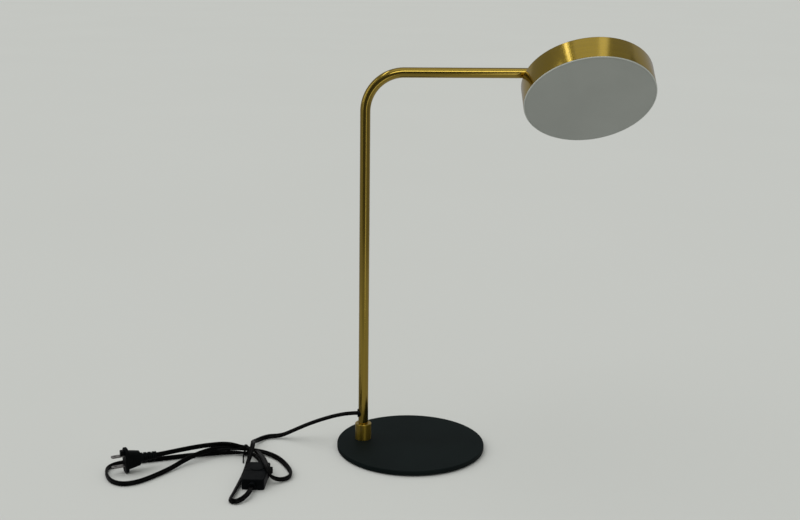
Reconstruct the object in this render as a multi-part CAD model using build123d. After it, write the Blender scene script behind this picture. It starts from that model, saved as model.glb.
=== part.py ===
"""Desk lamp with a round flat head on a bent brass tube, a disc foot and a corded in-line switch.

Millimetres, +Z up. The origin is the centre of the foot's underside, on the table. The stem stands on the
-X side of the foot, and the arm reaches out over it towards +X, turned a little about the stem.
"""
import os
from math import asin, cos, degrees, radians, sin, tan

from build123d import *

# Foot: a steel disc on a thin foam pad
BASE_DIA = 180.0
BASE_PAD_INSET = 4.0
BASE_PAD_THICK = 1.0
BASE_TOP = 7.0
BASE_EDGE_ROUND = 1.0
STEM_OFFSET = 59.4

# Collar that holds the stem, and the fastening under it
COLLAR_DIA = 20.0
COLLAR_TALL = 20.0
COLLAR_FLOOR = 2.5
COLLAR_BORE_DIA = 15.2
COLLAR_CHAMFER = 0.8
BUSH_SUNK = 0.3
BUSH_RISE = 1.0
STUD_DIA = 10.0
STUD_GAP = 0.1
STUD_HEAD_DIA = 13.2
STUD_HEAD_TALL = 2.5
FOOT_RECESS_DIA = 24.0
FOOT_RECESS_DEEP = 3.6
WASHER_DIA = 21.0
WASHER_THICK = 1.0
NUT_FLATS = 17.0
NUT_THICK = 2.2
SET_SCREW_DIA = 3.0
SET_SCREW_RISE = 2.4
SET_SCREW_TIP_DIA = 2.0
SET_SCREW_KEY = 0.75
SET_SCREW_KEY_DEEP = 1.3
SET_SCREW_GAP = 0.4
SET_SCREW_SUNK = 0.1
WASHER_PLAY = 0.2
THRUST_THICK = 0.6

# Bent tube: stem and arm in one piece
TUBE_DIA = 12.0
TUBE_WALL = 1.0
BEND_RADIUS = 45.0
ARM_HEIGHT = 457.0
ARM_REACH = 258.0
ARM_TURN = 15.0
ARM_TURN_LIMIT = 45.0
STOP_MARGIN = 1.0
RUNNING_GAP = 0.03
THRUST_GAP = 0.05
INSERT_FOOT_TALL = 4.4
INSERT_GRIP_LONG = 14.0

# Cord outlet in the stem, on the side away from the arm
OUTLET_HEIGHT = 39.8
GROMMET_DIA = 10.4
GROMMET_NECK_DIA = 6.6
GROMMET_REACH = 7.2
GROMMET_ROUND = 1.0

# Round head, rolled about the arm's axis
HEAD_DIA = 154.0
HEAD_THICK = 29.5
HEAD_WALL = 1.2
HEAD_EDGE_ROUND = 1.0
HEAD_ROLL = -45.0
HEAD_ROLL_LIMIT = 90.0
ARM_ABOVE_BACK = 10.75
DIFFUSER_PROUD = 1.0
DIFFUSER_THICK = 2.2
DIFFUSER_SKIRT = 1.6
DIFFUSER_GAP = 0.2
DIFFUSER_LIP = 1.4
DIFFUSER_GROOVE = 0.3
DIFFUSER_GROOVE_WIDE = 0.5
DIFFUSER_ROUND = 0.7
LIP_INSET = 0.1
PLATE_DEPTH = 15.0
PLATE_THICK = 1.5
PLATE_GAP = 0.3
PLATE_SCREW_LONG = 6.0
BOARD_INSET = 11.0
BOARD_THICK = 1.2
LED_SIZE = (3.5, 2.8, 0.9)
LED_RING_INSETS = (47.0, 23.0)
LED_COUNTS = (8, 16)
POST_DIA = 7.0
POST_INSET = 7.2
POST_COUNT = 3
DRIVER_SIZE = (46.0, 26.0, 11.0)
DRIVER_PLACE = -36.0
DRIVER_CORNER = 3.0

# Saddle that carries the head on the arm's end
SADDLE_HALF_LONG = 13.0
SADDLE_BARREL_DIA = 20.0
SADDLE_BORE_DIA = 15.0
SADDLE_FOOT_SIZE = (26.0, 42.0, 2.4)
SADDLE_WEB_WIDE = 16.0
SADDLE_WEB_SHORT = 1.0
SADDLE_SCREW_PITCH = 31.0
SADDLE_FOOT_CORNER = 6.0
SCREW_DIA = 3.2
SCREW_HEAD_DIA = 6.0
SCREW_HEAD_TALL = 1.8
STOP_DEEP = 1.8
STOP_RELIEF_OVER = 2.0
STOP_LUG_ANGLE = 10.0
STOP_RING_LONG = 7.0
STOP_RING_ROUND = 0.8
SADDLE_PLAY = 0.15
LUG_PLAY = 0.3
END_CAP_DIA = 17.2
END_CAP_LONG = 3.2
END_CAP_ROUND = 1.4

# Flat twin cord, given as a round tube of like section
CORD_DIA = 4.4
CORD_ARC_SHARE = 0.45
CORD_GAP = 0.4
OUTLET_RUN = 7.0
SWITCH_RUN_IN = 11.0
SWITCH_RUN_OUT = 11.0
PLUG_RUN = 10.0

# In-line switch, lying flat, with its rocker in one long edge
SWITCH_NEAR = (-153.4, -161.1)
SWITCH_HEADING = 97.0
SWITCH_LONG = 50.0
SWITCH_WIDE = 26.0
SWITCH_TALL = 13.0
SWITCH_WALL = 1.8
SWITCH_ROUND = 3.0
SWITCH_EDGE = 1.2
SWITCH_BOSS_DIA = 8.0
SWITCH_BOSS_LONG = 6.0
LID_SEAM_PLACE = 25.0
LID_SEAM_WIDE = 1.0
LID_SEAM_DEEP = 0.6
ROCKER_PLACE = 37.0
ROCKER_PIVOT_DEEP = 3.5
ROCKER_HALF_LONG = 7.0
ROCKER_TALL = 7.6
ROCKER_TILT = 11.0
ROCKER_GAP = 0.4
ROCKER_PIN_DIA = 2.5
ROCKER_PIN_WALL = 1.2
ROCKER_END_PROUD = 5.8
ROCKER_MIDDLE_PROUD = 4.3
ROCKER_BACK = 0.8
ROCKER_REST_PLACE = 5.0
ROCKER_REST_DIA = 3.0
ROCKER_REST_GAP = 0.25
SWITCH_SCREW_DIA = 2.6
SWITCH_SCREW_INSET = 7.0
SWITCH_SCREW_SHORT = 1.0
SWITCH_SCREW_SIDE = 8.0
SWITCH_SCREW_SUNK = 0.4
SWITCH_HEAD_TALL = 1.6
SWITCH_HEAD_GAP = 0.2
CONTACT_SIZE = (11.0, 0.6, 6.4)
CONTACT_INSET = 14.5
CONTACT_SIDE = 2.5

# Two-blade plug, standing on the edge of its flange
PLUG_CORD_END = (-282.5, -121.5)
PLUG_HEADING = 218.0
PLUG_AXIS_HEIGHT = 15.2
PLUG_RELIEF_LONG = 20.0
PLUG_RELIEF_DIA = 8.8
PLUG_RELIEF_FLARE = 1.6
RELIEF_GROOVE_START = 4.4
RELIEF_GROOVE_PITCH = 5.0
RELIEF_GROOVE_WIDE = 2.0
RELIEF_GROOVE_DEEP = 1.2
RELIEF_GROOVE_COUNT = 3
PLUG_BODY_LONG = 14.0
PLUG_FLANGE_THICK = 4.0
PLUG_BODY_WIDE = 14.0
PLUG_BODY_TALL = 22.0
PLUG_BODY_CORNER = 4.5
PLUG_BODY_TAPER = (2.0, 5.0)
PLUG_FLANGE_LIP = 2.0
PLUG_FLANGE_CORNER = 6.5
PLUG_FLANGE_ROUND = 0.9
PLUG_KEY_SIZE = (4.4, 5.6, 5.4)
PLUG_KEY_HEIGHT = 9.9
PLUG_KEY_ROUND = 0.8
BLADE_SPACING = 12.7
BLADE_SIZE = (15.0, 6.3, 1.5)
BLADE_CHAMFER = 1.5
BLADE_HOLE_DIA = 3.2
BLADE_HOLE_INSET = 4.5

# Wire tie round the bundled cord
TIE_THICK = 0.8
TIE_WIDE = 2.4
TIE_CLEAR = 0.65
TIE_PLACE = -190.0
TIE_TWIST = (0.4, -6.0, -0.2)
TIE_TAIL = (4.4, -19.6, -3.2)
TIE_TAIL_BEND = 8.0

# Cord routes, chosen by hand: lamp to table, then over the bundle to the switch, then switch to plug
LEAD_ROUTE = [
    (-86.0, -6.0, 38.0),
    (-103.0, -7.0, 32.8),
    (-126.0, -6.6, 23.0),
    (-147.0, -6.2, 11.8),
    (-159.5, -6.4, 5.2),
    (-168.0, -8.4, 3.8),
]
LOOP_ROUTE = [
    (-168.0, -8.4, 3.8),
    (-176.5, -10.4, 2.4),
    (-183.4, -18.0, 2.6),
    (-186.8, -30.0, 4.4),
    (-186.8, -42.5, 8.2),
    (-184.0, -55.5, 13.4),
    (-180.5, -68.0, 16.2),
    (-178.2, -85.0, 11.4),
    (-176.8, -103.0, 5.2),
    (-174.6, -122.0, 2.8),
    (-172.6, -143.0, 2.3),
    (-170.8, -164.0, 2.4),
    (-169.6, -183.0, 2.3),
    (-168.8, -197.0, 2.3),
    (-164.0, -201.0, 2.3),
    (-158.2, -199.4, 2.7),
    (-153.4, -190.0, 4.8),
]
HANK_ROUTE = [
    (-167.6, -77.0, 4.8),
    (-178.0, -69.6, 4.2),
    (-192.0, -68.4, 4.3),
    (-207.0, -71.3, 2.8),
    (-222.0, -77.5, 2.3),
    (-239.0, -85.5, 2.3),
    (-256.0, -93.2, 2.4),
    (-272.0, -101.5, 2.3),
    (-287.0, -109.4, 2.3),
    (-302.0, -116.2, 2.3),
    (-317.0, -121.5, 2.4),
    (-329.0, -128.8, 2.3),
    (-334.5, -141.0, 2.3),
    (-331.5, -154.0, 2.3),
    (-324.0, -167.5, 2.4),
    (-313.5, -178.5, 2.3),
    (-299.5, -182.0, 2.3),
    (-286.5, -174.0, 2.3),
    (-277.0, -160.0, 2.4),
    (-269.0, -144.5, 2.6),
    (-260.5, -128.0, 3.8),
    (-251.0, -112.0, 5.8),
    (-240.0, -99.0, 7.4),
    (-228.0, -85.0, 8.0),
    (-214.0, -73.0, 8.1),
    (-200.0, -63.5, 6.3),
    (-185.0, -58.0, 4.4),
    (-171.0, -60.0, 4.0),
    (-161.5, -64.6, 3.8),
    (-152.5, -70.4, 3.4),
    (-144.0, -77.8, 2.8),
    (-134.8, -89.4, 2.4),
    (-126.4, -102.6, 2.3),
    (-121.2, -113.5, 2.3),
    (-120.4, -124.4, 2.4),
    (-124.6, -132.4, 2.8),
    (-131.0, -136.8, 4.0),
    (-138.2, -140.2, 9.0),
    (-141.2, -137.6, 15.0),
    (-145.0, -131.0, 17.6),
    (-150.0, -119.4, 17.4),
    (-155.0, -108.5, 16.2),
    (-160.3, -98.5, 14.6),
    (-166.0, -88.5, 12.6),
    (-171.5, -79.0, 10.8),
    (-178.0, -72.0, 9.8),
    (-186.0, -67.4, 9.8),
    (-199.0, -66.0, 11.3),
    (-213.0, -68.0, 12.6),
    (-229.0, -75.0, 13.4),
    (-246.0, -87.0, 14.0),
    (-261.0, -101.5, 14.8),
]

os.makedirs("parts", exist_ok=True)

# Worked-out places
TUBE_R = TUBE_DIA / 2
TUBE_BORE_R = TUBE_R - TUBE_WALL
COLLAR_TOP = BASE_TOP + COLLAR_TALL
STUD_TOP = BASE_TOP + COLLAR_FLOOR + STUD_HEAD_TALL
INSERT_BOTTOM = STUD_TOP + THRUST_THICK + THRUST_GAP
TUBE_BOTTOM = INSERT_BOTTOM + INSERT_FOOT_TALL
INSERT_TOP = TUBE_BOTTOM + INSERT_GRIP_LONG
SET_SCREW_HEIGHT = INSERT_BOTTOM + SET_SCREW_RISE
CAP_FACE = SADDLE_HALF_LONG + SADDLE_PLAY
STEM = Location((-STEM_OFFSET, 0, 0), (0, 0, ARM_TURN))
FOOT = Location((-STEM_OFFSET, 0, 0))
ARM_END = STEM * Location((ARM_REACH, 0, ARM_HEIGHT))
HEAD = ARM_END * Location((0, 0, 0), (HEAD_ROLL, 0, 0))
HEAD_BACK = -ARM_ABOVE_BACK
HEAD_FACE = HEAD_BACK - HEAD_THICK
SWITCH = Location((*SWITCH_NEAR, 0), (0, 0, SWITCH_HEADING))
PLUG = Location((*PLUG_CORD_END, PLUG_AXIS_HEIGHT), (0, 0, PLUG_HEADING))
ALONG_X = Rotation(0, 90, 0)


def save(name, shape):
    """Write one piece to its own file."""
    shape.label = name
    export_step(shape, f"parts/{name}.step")


def disc(radius, low, high):
    """Upright cylinder between two heights."""
    return Pos(0, 0, low) * extrude(Circle(radius), high - low)


def ring(outer, inner, low, high):
    """Upright hollow cylinder between two heights."""
    return Pos(0, 0, low) * extrude(Circle(outer) - Circle(inner), high - low)


def rod_x(radius, start, end):
    """Cylinder along X between two places."""
    return Pos(start, 0, 0) * ALONG_X * extrude(Circle(radius), end - start)


def tube_x(outer, inner, start, end):
    """Hollow cylinder along X between two places."""
    return Pos(start, 0, 0) * ALONG_X * extrude(Circle(outer) - Circle(inner), end - start)


def slab(size, low, corner):
    """Upright block with rounded corners, standing at a height."""
    return Pos(0, 0, low) * extrude(RectangleRounded(size[0], size[1], corner), size[2])


def sector(radius, middle, half_angle):
    """Flat pie slice about the Z axis."""
    start = middle - half_angle
    tip = Vector(radius * cos(radians(start)), radius * sin(radians(start)))
    end = Vector(radius * cos(radians(start + 2 * half_angle)), radius * sin(radians(start + 2 * half_angle)))
    arc = CenterArc((0, 0), radius, start, 2 * half_angle)
    return make_face([Line((0, 0), tip), arc, Line(end, (0, 0))])


def corner_radii(points):
    """Largest tangent arc at each corner of a route."""
    radii = []
    for before, here, after in zip(points, points[1:], points[2:]):
        run_in = Vector(*here) - Vector(*before)
        run_out = Vector(*after) - Vector(*here)
        half_turn = radians(run_in.get_angle(run_out)) / 2
        radii.append(CORD_ARC_SHARE * min(run_in.length, run_out.length) / tan(half_turn))
    return radii


def cord(name, points):
    """Round tube along straight runs joined by tangent arcs."""
    radii = corner_radii(points)
    path = FilletPolyline(*points, radius=radii)
    tube = sweep((path ^ 0) * Circle(CORD_DIA / 2), path=path)
    section = Circle(CORD_DIA / 2).area
    print(name, "length", round(path.length, 1), "least radius", round(min(radii), 1),
          "volume ratio", round(tube.volume / (section * path.length), 4))
    save(name, tube)
    return path


def least_gap(path_a, path_b=None, step=2.0, skip=14.0):
    """Smallest clear distance of a tube to itself or to another one."""
    def spots(path):
        count = int(path.length / step)
        return [path @ (i / count) for i in range(count + 1)]

    first = spots(path_a)
    second = spots(path_b) if path_b else first
    apart = 0 if path_b else int(skip / step)
    best = None
    for i, a in enumerate(first):
        for j, b in enumerate(second):
            if path_b or j - i > apart:
                gap = (a - b).length - CORD_DIA
                if best is None or gap < best[0]:
                    best = (gap, a, b)
    return best


def base():
    """Foot disc, pad, and the stud, washer and nut that hold the collar down."""
    radius = BASE_DIA / 2
    plate = disc(radius, BASE_PAD_THICK, BASE_TOP)
    plate = fillet(plate.edges().filter_by(GeomType.CIRCLE), BASE_EDGE_ROUND)
    recess_top = BASE_PAD_THICK + FOOT_RECESS_DEEP
    plate -= FOOT * disc(FOOT_RECESS_DIA / 2, BASE_PAD_THICK, recess_top)
    plate -= FOOT * disc(STUD_DIA / 2 + STUD_GAP, recess_top, BASE_TOP)
    save("base_plate", plate)
    save("base_pad", disc(radius - BASE_PAD_INSET, 0, BASE_PAD_THICK))

    washer_low = recess_top - WASHER_THICK
    nut_low = washer_low - NUT_THICK
    washer = ring(WASHER_DIA / 2, STUD_DIA / 2 + STUD_GAP, washer_low, recess_top)
    save("base_washer", FOOT * washer)
    hexagon = RegularPolygon(NUT_FLATS / 2, 6, major_radius=False)
    nut = Pos(0, 0, nut_low) * extrude(hexagon - Circle(STUD_DIA / 2), NUT_THICK)
    save("base_nut", FOOT * nut)
    stud = disc(STUD_DIA / 2, nut_low, STUD_TOP)
    stud += disc(STUD_HEAD_DIA / 2, STUD_TOP - STUD_HEAD_TALL, STUD_TOP)
    save("base_stud", FOOT * stud)


def collar():
    """Brass collar, its bush, the thrust washer and the set screw that limits the stem's turn."""
    radius = COLLAR_DIA / 2
    bore = COLLAR_BORE_DIA / 2
    floor_top = BASE_TOP + COLLAR_FLOOR
    body = disc(radius, BASE_TOP, COLLAR_TOP)
    body = chamfer(body.edges().group_by(Axis.Z)[-1], COLLAR_CHAMFER)
    body -= disc(bore, floor_top, COLLAR_TOP)
    body -= disc(STUD_DIA / 2 + STUD_GAP, BASE_TOP, floor_top)
    screw_axis = Pos(0, 0, SET_SCREW_HEIGHT) * Rotation(-90, 0, 0)
    body -= screw_axis * extrude(Circle(SET_SCREW_DIA / 2), radius)
    save("stem_collar", FOOT * body)

    bush = ring(bore, TUBE_R + RUNNING_GAP, TUBE_BOTTOM + BUSH_RISE, COLLAR_TOP - BUSH_SUNK)
    save("collar_bush", FOOT * bush)
    washer = ring(TUBE_R - WASHER_PLAY, SET_SCREW_DIA, STUD_TOP, STUD_TOP + THRUST_THICK)
    save("thrust_washer", FOOT * washer)
    shoulder = bore - SET_SCREW_GAP
    shank = disc(SET_SCREW_DIA / 2, shoulder, radius - SET_SCREW_SUNK)
    key_hole = extrude(RegularPolygon(SET_SCREW_KEY, 6), SET_SCREW_KEY_DEEP)
    shank -= Pos(0, 0, radius - SET_SCREW_KEY_DEEP) * key_hole
    screw = shank + disc(SET_SCREW_TIP_DIA / 2, TUBE_BORE_R + SET_SCREW_GAP, shoulder)
    save("collar_screw", FOOT * screw_axis * screw)


def tube_line():
    """Axis of the bent tube, from its foot to the arm's end, in the stem's own frame."""
    corner = (0, 0, ARM_HEIGHT)
    end = (ARM_REACH + CAP_FACE, 0, ARM_HEIGHT)
    return FilletPolyline((0, 0, TUBE_BOTTOM), corner, end, radius=BEND_RADIUS)


def stem():
    """Bent tube, the grooved insert in its foot, the cord grommet and the lead inside."""
    line = tube_line()
    section = Circle(TUBE_R) - Circle(TUBE_BORE_R)
    tube = sweep((line ^ 0) * section, path=line)
    outlet = Pos(0, 0, OUTLET_HEIGHT) * Rotation(0, -90, 0)
    tube -= outlet * extrude(Circle(GROMMET_NECK_DIA / 2), TUBE_DIA)
    save("stem_tube", STEM * tube)

    insert = disc(TUBE_R, INSERT_BOTTOM, TUBE_BOTTOM) + disc(TUBE_BORE_R, TUBE_BOTTOM, INSERT_TOP)
    tip_angle = degrees(asin(SET_SCREW_TIP_DIA / 2 / TUBE_BORE_R)) + STOP_MARGIN
    groove = sector(TUBE_DIA, 90, ARM_TURN_LIMIT + tip_angle) - Circle(TUBE_BORE_R)
    groove_tall = SET_SCREW_TIP_DIA + WASHER_PLAY
    insert -= Pos(0, 0, SET_SCREW_HEIGHT - groove_tall / 2) * extrude(groove, groove_tall)
    save("stem_insert", STEM * insert)

    lead_line = FilletPolyline(
        (0, 0, INSERT_TOP), (0, 0, ARM_HEIGHT), (ARM_REACH, 0, ARM_HEIGHT), radius=BEND_RADIUS)
    lead = sweep((lead_line ^ 0) * Circle(CORD_DIA / 2), path=lead_line)
    save("inner_lead", STEM * lead)

    neck = outlet * extrude(Circle(GROMMET_NECK_DIA / 2), TUBE_R)
    flange = outlet * extrude(Circle(GROMMET_DIA / 2), GROMMET_REACH)
    flange = fillet(flange.edges().group_by(Axis.X)[0], GROMMET_ROUND)
    flange -= Pos(0, 0, OUTLET_HEIGHT) * Cylinder(TUBE_R, TUBE_DIA)
    grommet = flange + neck
    grommet -= Pos(0, 0, OUTLET_HEIGHT) * Cylinder(CORD_DIA / 2, TUBE_DIA)
    save("cord_grommet", STEM * grommet)


def arm_end():
    """Stop ring and end cap that keep the head's saddle in place on the arm."""
    barrel = SADDLE_BARREL_DIA / 2
    face = -SADDLE_HALF_LONG - SADDLE_PLAY
    stop = tube_x(barrel, TUBE_R, face - STOP_RING_LONG, face)
    stop = fillet(stop.edges().filter_by(GeomType.CIRCLE).sort_by(Axis.X)[0], STOP_RING_ROUND)
    lug_face = sector(barrel - LUG_PLAY, 180, STOP_LUG_ANGLE / 2) - Circle(SADDLE_BORE_DIA / 2 + LUG_PLAY)
    stop += Pos(face, 0, 0) * ALONG_X * extrude(lug_face, STOP_DEEP)
    save("arm_stop_ring", ARM_END * stop)

    cap = rod_x(END_CAP_DIA / 2, CAP_FACE, CAP_FACE + END_CAP_LONG)
    cap = fillet(cap.edges().group_by(Axis.X)[-1], END_CAP_ROUND)
    cap += rod_x(TUBE_BORE_R, 0, CAP_FACE)
    save("arm_end_cap", ARM_END * cap)


def saddle():
    """Saddle on the head's back with its friction sleeve and screws."""
    barrel = SADDLE_BARREL_DIA / 2
    bore = SADDLE_BORE_DIA / 2
    body = rod_x(barrel, -SADDLE_HALF_LONG, SADDLE_HALF_LONG)
    web_tall = ARM_ABOVE_BACK - SADDLE_WEB_SHORT
    body += Pos(0, 0, -web_tall) * extrude(Rectangle(2 * SADDLE_HALF_LONG, SADDLE_WEB_WIDE), web_tall)
    body += slab(SADDLE_FOOT_SIZE, HEAD_BACK, SADDLE_FOOT_CORNER)
    body -= rod_x(bore, -SADDLE_HALF_LONG, SADDLE_HALF_LONG)
    swing = HEAD_ROLL_LIMIT + STOP_LUG_ANGLE / 2 + STOP_MARGIN
    relief = sector(barrel + STOP_RELIEF_OVER, 180, swing) - Circle(bore)
    body -= Pos(-SADDLE_HALF_LONG, 0, 0) * ALONG_X * extrude(relief, STOP_DEEP + LUG_PLAY)
    holes = [Pos(0, side * SADDLE_SCREW_PITCH / 2, 0) for side in (-1, 1)]
    for hole in holes:
        body -= hole * disc(SCREW_DIA / 2, HEAD_BACK, HEAD_BACK + SADDLE_FOOT_SIZE[2])
    save("head_saddle", HEAD * body)
    sleeve = tube_x(bore, TUBE_R + RUNNING_GAP, -SADDLE_HALF_LONG, SADDLE_HALF_LONG)
    save("saddle_sleeve", HEAD * sleeve)
    inside = HEAD_BACK - HEAD_WALL
    screw = disc(SCREW_DIA / 2, inside, HEAD_BACK + SADDLE_FOOT_SIZE[2])
    screw += disc(SCREW_HEAD_DIA / 2, inside - SCREW_HEAD_TALL, inside)
    for number, hole in enumerate(holes, 1):
        save(f"saddle_screw_{number}", HEAD * hole * screw)


def head():
    """Spun cup, inner plate on posts, light board, driver and opal diffuser."""
    radius = HEAD_DIA / 2
    inner = radius - HEAD_WALL
    rim = HEAD_FACE + DIFFUSER_PROUD
    cup = disc(radius, rim, HEAD_BACK)
    cup = fillet(cup.edges().group_by(Axis.Z)[-1], HEAD_EDGE_ROUND)
    cup -= disc(inner, rim, HEAD_BACK - HEAD_WALL)
    for side in (-1, 1):
        cup -= Pos(0, side * SADDLE_SCREW_PITCH / 2, 0) * disc(SCREW_DIA / 2, HEAD_BACK - HEAD_WALL, HEAD_BACK)
    save("head_shell", HEAD * cup)

    plate_top = HEAD_BACK - PLATE_DEPTH
    plate_low = plate_top - PLATE_THICK
    board_low = plate_low - BOARD_THICK
    posts = PolarLocations(radius - POST_INSET, POST_COUNT, start_angle=90)
    plate = disc(inner - PLATE_GAP, plate_low, plate_top)
    for number, place in enumerate(posts, 1):
        plate -= place * disc(SCREW_DIA / 2, plate_low, plate_top)
        post = ring(POST_DIA / 2, SCREW_DIA / 2, plate_top, HEAD_BACK - HEAD_WALL)
        save(f"plate_post_{number}", HEAD * place * post)
        screw = disc(SCREW_DIA / 2, plate_low, plate_top + PLATE_SCREW_LONG)
        screw += disc(SCREW_HEAD_DIA / 2, plate_low - SCREW_HEAD_TALL, plate_low)
        save(f"plate_screw_{number}", HEAD * place * screw)
    save("heat_plate", HEAD * plate)
    save("led_board", HEAD * disc(radius - BOARD_INSET, board_low, plate_low))

    chip = Pos(0, 0, board_low - LED_SIZE[2]) * extrude(Rectangle(LED_SIZE[0], LED_SIZE[1]), LED_SIZE[2])
    spots = [
        place
        for inset, count in zip(LED_RING_INSETS, LED_COUNTS)
        for place in PolarLocations(radius - inset, count)
    ]
    chips = [HEAD * place * chip for place in spots]
    save("led_chips", Compound(children=chips))
    driver = Pos(0, DRIVER_PLACE, 0) * slab(DRIVER_SIZE, plate_top, DRIVER_CORNER)
    save("led_driver", HEAD * driver)

    lens_r = inner - DIFFUSER_GAP
    lens = disc(lens_r, HEAD_FACE, plate_low) + disc(radius - LIP_INSET, HEAD_FACE, rim)
    lens = fillet(lens.edges().group_by(Axis.Z)[0], DIFFUSER_ROUND)
    lens -= disc(lens_r - DIFFUSER_SKIRT, HEAD_FACE + DIFFUSER_THICK, plate_low)
    groove_r = radius - DIFFUSER_LIP
    lens -= ring(groove_r, groove_r - DIFFUSER_GROOVE_WIDE, HEAD_FACE, HEAD_FACE + DIFFUSER_GROOVE)
    save("diffuser", HEAD * lens)


def rocker_profile():
    """Rocker seen along its pivot: a shallow V across the thumb face, round ends, a boss at the pivot."""
    half = ROCKER_HALF_LONG
    ends, back = -ROCKER_END_PROUD, ROCKER_BACK
    thumb = [(-half, ends), (0, -ROCKER_MIDDLE_PROUD), (half, ends), (half, back), (-half, back)]
    shape = make_face(Polyline(*thumb, close=True))
    shape += Circle(ROCKER_PIN_DIA / 2 + ROCKER_PIN_WALL)
    return shape - Circle(ROCKER_PIN_DIA / 2 + RUNNING_GAP)


def switch():
    """Two moulded shells, rocker and pin, two contacts and the screws that close the shells."""
    half_tall = SWITCH_TALL / 2
    middle = SWITCH_LONG / 2
    outline = Pos(middle, 0) * RectangleRounded(SWITCH_LONG, SWITCH_WIDE, SWITCH_ROUND)
    block = extrude(outline, SWITCH_TALL)
    block = fillet(block.edges().group_by(Axis.Z)[0] + block.edges().group_by(Axis.Z)[-1], SWITCH_EDGE)
    boss = SWITCH_BOSS_DIA / 2
    block += Pos(0, 0, half_tall) * rod_x(boss, -SWITCH_BOSS_LONG, SWITCH_LONG + SWITCH_BOSS_LONG)
    cavity = Pos(middle, 0) * Rectangle(SWITCH_LONG - 2 * SWITCH_WALL, SWITCH_WIDE - 2 * SWITCH_WALL)
    block -= Pos(0, 0, SWITCH_WALL) * extrude(cavity, SWITCH_TALL - 2 * SWITCH_WALL)
    pivot = Pos(ROCKER_PLACE, ROCKER_PIVOT_DEEP - SWITCH_WIDE / 2, 0)
    tilt = radians(ROCKER_TILT)
    window_half = ROCKER_HALF_LONG * cos(tilt) + ROCKER_END_PROUD * sin(tilt) + ROCKER_GAP
    window_low = half_tall - ROCKER_TALL / 2 - ROCKER_GAP
    window = Pos(ROCKER_PLACE, -SWITCH_WIDE / 2, window_low)
    block -= window * extrude(Rectangle(2 * window_half, 4 * SWITCH_WALL), SWITCH_TALL - 2 * window_low)
    pin_low = SWITCH_WALL
    socket = ring(ROCKER_PIN_DIA / 2 + ROCKER_PIN_WALL, ROCKER_PIN_DIA / 2, pin_low, window_low)
    block += pivot * socket
    block += pivot * Pos(0, 0, SWITCH_TALL - pin_low - window_low) * socket
    rest = disc(ROCKER_REST_DIA / 2, SWITCH_WALL, half_tall)
    rest_y = ROCKER_BACK * cos(tilt) + ROCKER_REST_PLACE * tan(tilt) + ROCKER_REST_DIA / 2 + ROCKER_REST_GAP
    for side in (-1, 1):
        block += pivot * Pos(side * ROCKER_REST_PLACE, rest_y, 0) * rest
    screw_top = SWITCH_TALL - SWITCH_WALL - SWITCH_SCREW_SHORT
    screw_spots = [Pos(x, SWITCH_SCREW_SIDE, 0) for x in (SWITCH_SCREW_INSET, SWITCH_LONG - SWITCH_SCREW_INSET)]
    for spot in screw_spots:
        block += spot * disc(SWITCH_SCREW_DIA, SWITCH_WALL, SWITCH_TALL - SWITCH_WALL)
        block -= spot * disc(SWITCH_SCREW_DIA / 2, 0, screw_top)
        block -= spot * disc(SWITCH_SCREW_DIA, 0, SWITCH_HEAD_TALL)
    seam = Pos(LID_SEAM_PLACE, 0, SWITCH_TALL - LID_SEAM_DEEP)
    block -= seam * extrude(Rectangle(LID_SEAM_WIDE, SWITCH_WIDE), LID_SEAM_DEEP)
    lower = split(block, Plane.XY.offset(half_tall), keep=Keep.BOTTOM)
    upper = split(block, Plane.XY.offset(half_tall), keep=Keep.TOP)
    save("switch_shell_bottom", SWITCH * lower)
    save("switch_shell_top", SWITCH * upper)

    rocker_low = half_tall - ROCKER_TALL / 2
    rocker = Pos(0, 0, rocker_low) * extrude(rocker_profile(), ROCKER_TALL)
    save("switch_rocker", SWITCH * pivot * Rotation(0, 0, -ROCKER_TILT) * rocker)
    save("rocker_pin", SWITCH * pivot * disc(ROCKER_PIN_DIA / 2, pin_low, SWITCH_TALL - pin_low))
    strip = extrude(Rectangle(CONTACT_SIZE[0], CONTACT_SIZE[1]), CONTACT_SIZE[2])
    for number, x in enumerate((CONTACT_INSET, SWITCH_LONG - CONTACT_INSET), 1):
        save(f"switch_contact_{number}", SWITCH * Pos(x, CONTACT_SIDE, SWITCH_WALL) * strip)
    for number, spot in enumerate(screw_spots, 1):
        screw = disc(SWITCH_SCREW_DIA / 2, SWITCH_SCREW_SUNK, screw_top)
        screw += disc(SWITCH_SCREW_DIA - SWITCH_HEAD_GAP, SWITCH_SCREW_SUNK, SWITCH_HEAD_TALL)
        save(f"switch_screw_{number}", SWITCH * spot * screw)


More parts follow.
